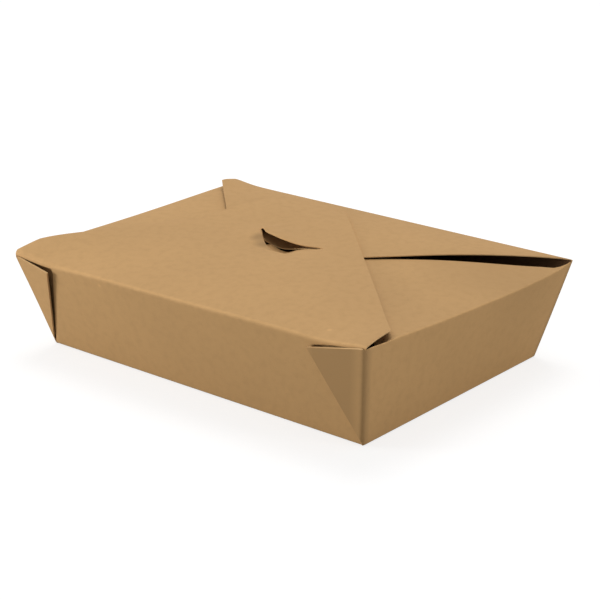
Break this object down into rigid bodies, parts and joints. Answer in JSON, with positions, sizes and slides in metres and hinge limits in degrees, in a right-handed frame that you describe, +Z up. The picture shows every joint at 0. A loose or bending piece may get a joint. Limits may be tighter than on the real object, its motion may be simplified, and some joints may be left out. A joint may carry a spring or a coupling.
{
  "type": "folded takeaway food box",
  "caption": "Folded kraft board food box with flaring walls, folded corner webs and a lid of overlapping flaps held by a pressed-in lock.",
  "frame": {"origin": "centre of the base on the surface that the box stands on", "axes": "X along the long walls, -Y towards the front wall that carries the outermost flap, +Z up"},
  "size_m": [0.2158, 0.1621, 0.0557],
  "materials": {
    "kraft_board": "matt uncoated kraft",
    "kraft_flap": "matt uncoated kraft"
  },
  "bodies": {
    "carton": {"carton": "kraft_board"},
    "front_flap": {"front_flap": "kraft_flap"}
  },
  "joints": [
    {"name": "front_flap_fold", "type": "hinge", "parent": "carton", "child": "front_flap", "pos_m": [0, -0.0795, 0.048], "axis": [1, 0, 0], "range_deg": [0, 180]}
  ]
}
